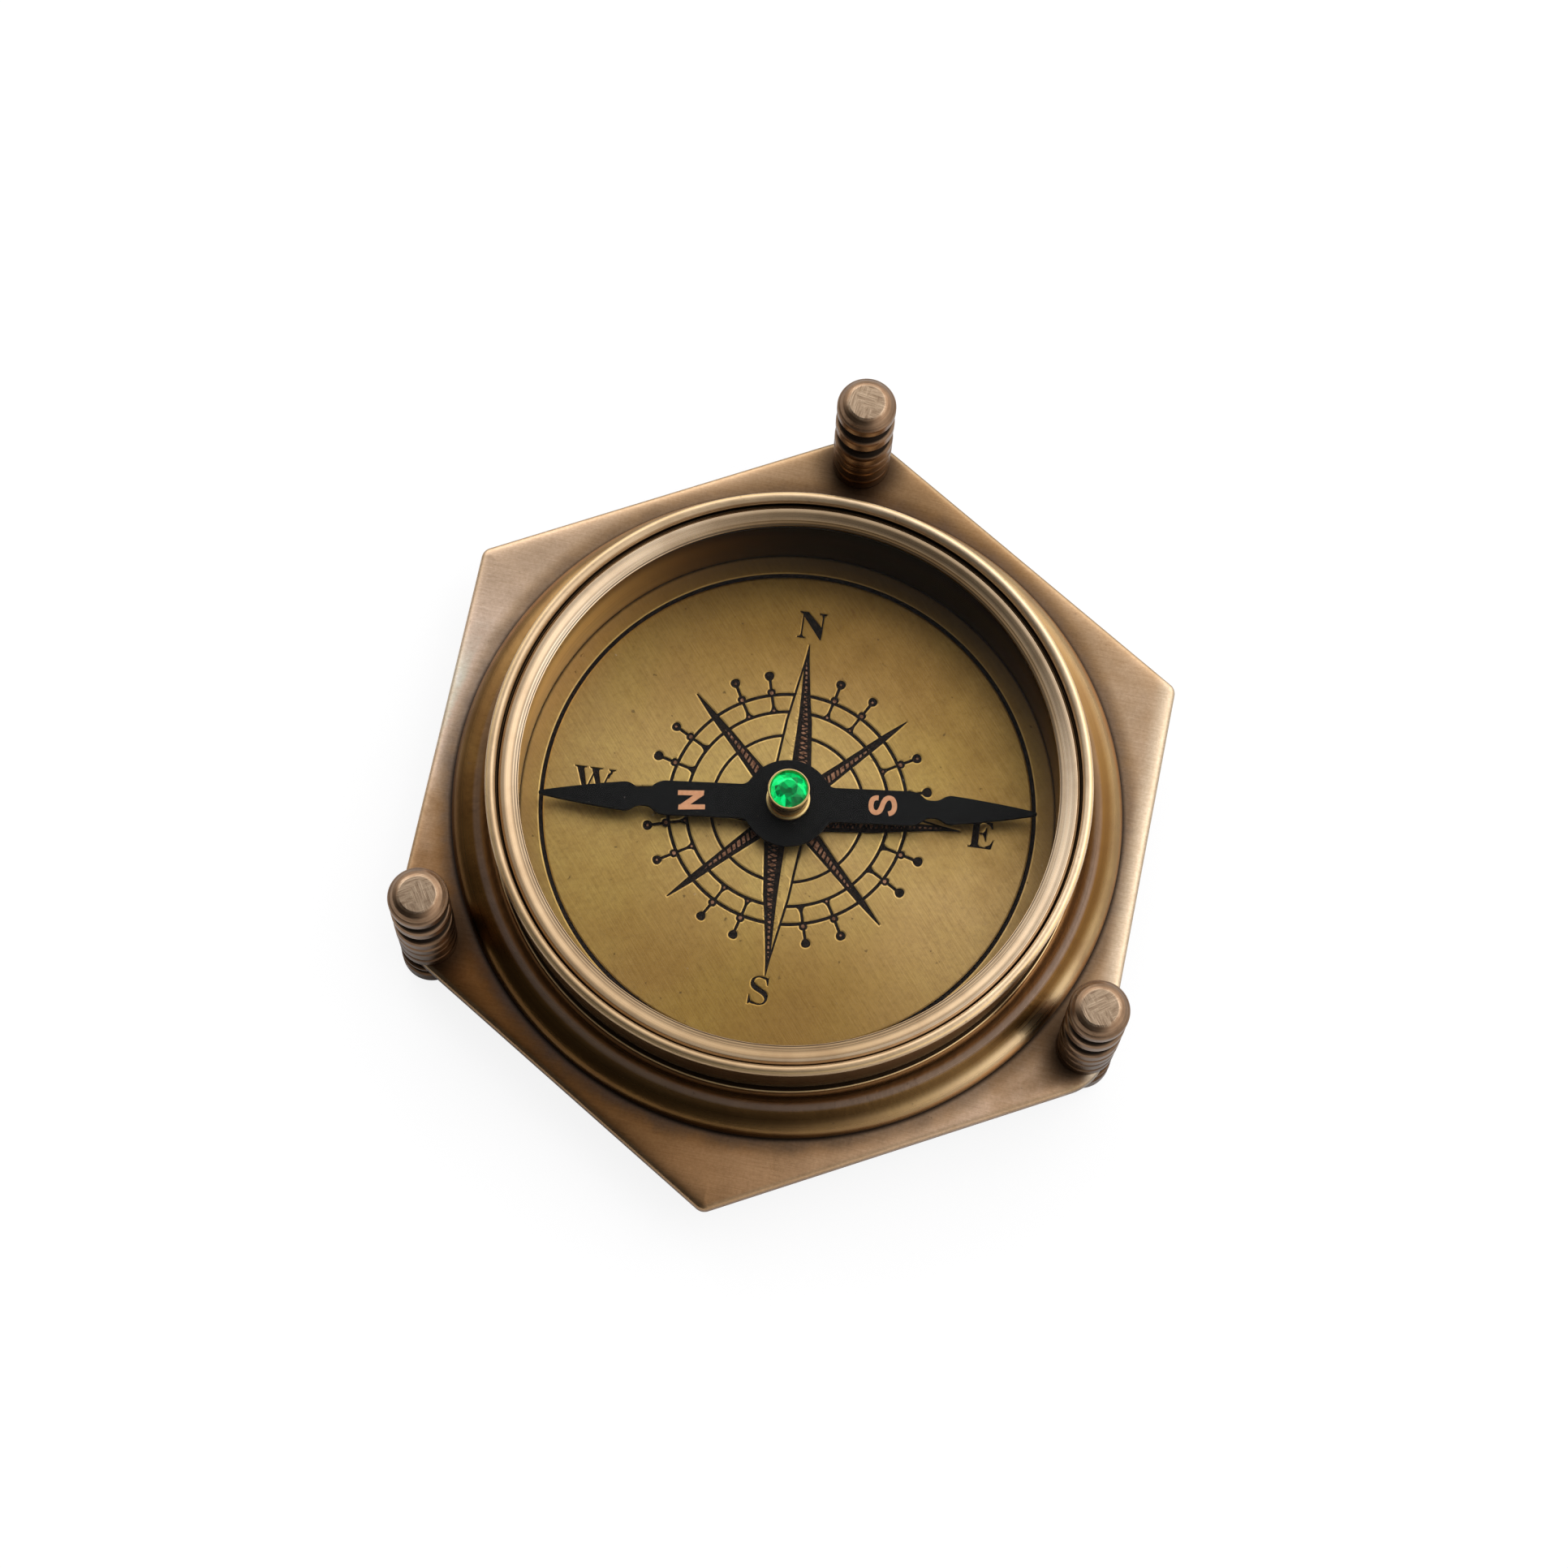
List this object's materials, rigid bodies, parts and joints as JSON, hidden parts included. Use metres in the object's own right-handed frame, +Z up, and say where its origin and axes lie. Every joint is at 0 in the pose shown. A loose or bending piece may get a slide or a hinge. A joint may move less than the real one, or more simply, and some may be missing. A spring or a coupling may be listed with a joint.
{
  "type": "desk compass",
  "caption": "Brass magnetic desk compass: glazed bowl over an engraved compass-rose dial, free-turning needle, on a hexagonal plate with turned posts and feet.",
  "frame": {"origin": "on the needle's axis, in the plane the feet stand on", "axes": "+Z up along the needle's axis; +Y from the axis towards post_a"},
  "size_m": [0.0786, 0.0892, 0.0254],
  "materials": {
    "plate_brass": "aged satin, tarnished towards the bowl and rubbed bright along its edges",
    "bowl_brass": "aged semi-gloss, dark brown patina on the wall and olive on the foot",
    "dial_brass": "engraved, the lines filled black and worn",
    "sleeve_brass": "satin, slightly tarnished",
    "gasket": "black card or rubber",
    "glass": "clear, polished",
    "bezel_brass": "turned, polished crown with brown patina",
    "pivot_brass": "turned",
    "pin_steel": "ground",
    "needle_steel": "blackened steel strip with copper-coloured direction letters",
    "cup_brass": "turned, bright rim",
    "jewel_glass": "green cut stone, polished facets",
    "post_brass": "turned, dark patina in the grooves, rubbed top",
    "stud_steel": "threaded rod, plain",
    "screw_brass": "slotted heads"
  },
  "bodies": {
    "case": {"base_plate": "plate_brass", "bowl": "bowl_brass", "dial": "dial_brass", "spacer_ring": "sleeve_brass", "glass_gasket": "gasket", "glass": "glass", "bezel_ring": "bezel_brass", "pivot_base": "pivot_brass", "pivot_pin": "pin_steel", "post_a": "post_brass", "post_b": "post_brass", "post_c": "post_brass", "foot_a": "post_brass", "foot_b": "post_brass", "foot_c": "post_brass", "post_studs": "stud_steel", "bowl_screws": "screw_brass"},
    "needle_body": {"needle": "needle_steel", "needle_cup": "cup_brass", "jewel": "jewel_glass"}
  },
  "joints": [
    {"name": "needle_spin", "type": "hinge", "parent": "case", "child": "needle_body", "pos_m": [0, 0, 0.0148], "axis": [0, 0, 1], "continuous": true}
  ]
}
